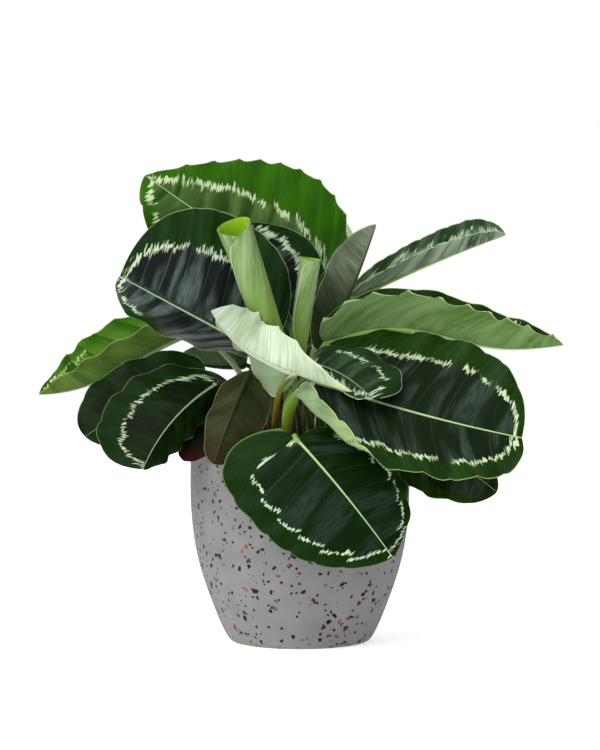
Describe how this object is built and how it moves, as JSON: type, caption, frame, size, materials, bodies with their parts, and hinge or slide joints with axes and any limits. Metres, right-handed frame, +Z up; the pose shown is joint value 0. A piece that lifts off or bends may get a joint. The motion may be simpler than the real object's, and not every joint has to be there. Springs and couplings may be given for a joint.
{
  "type": "potted calathea plant",
  "caption": "Broad-leaved calathea house plant, with round waved leaves on slim stalks and some still rolled up, in a rounded terrazzo pot that tapers to a flat foot.",
  "frame": {"origin": "centre of the pot's flat foot, on the surface it stands on", "axes": "+Z up along the pot's axis, -Y towards the plant's front, +X to the right of someone who looks at the front"},
  "size_m": [0.405, 0.2912, 0.3748],
  "materials": {
    "pot": "matt terrazzo with small dark and orange chips",
    "soil": "rough potting soil",
    "leaf_green": "satin living leaf",
    "leaf_dark_green": "satin living leaf",
    "leaf_light_green": "satin living leaf",
    "leaf_pale_green": "satin living leaf",
    "leaf_olive": "satin living leaf"
  },
  "bodies": {
    "root": {"pot": "pot", "soil": "soil", "leaf_top_back": "leaf_green", "leaf_left_upper": "leaf_dark_green", "leaf_behind_roll": "leaf_dark_green", "leaf_upright_grey": "leaf_olive", "leaf_right_rolled": "leaf_dark_green", "leaf_right_light": "leaf_light_green", "leaf_right_dark": "leaf_green", "leaf_front": "leaf_green", "leaf_left_front": "leaf_dark_green", "leaf_left_behind": "leaf_dark_green", "leaf_left_folded": "leaf_light_green", "leaf_left_small": "leaf_olive", "leaf_left_olive": "leaf_olive", "leaf_left_maroon": "leaf_olive", "leaf_right_under": "leaf_dark_green", "leaf_young_right": "leaf_green", "leaf_pale_centre": "leaf_pale_green", "leaf_roll_tall": "leaf_light_green", "leaf_roll_short": "leaf_light_green", "leaf_narrow": "leaf_green", "leaf_rear_light": "leaf_light_green", "leaf_back_right": "leaf_green", "leaf_back_left": "leaf_green", "leaf_back_centre": "leaf_green"}
  },
  "joints": []
}
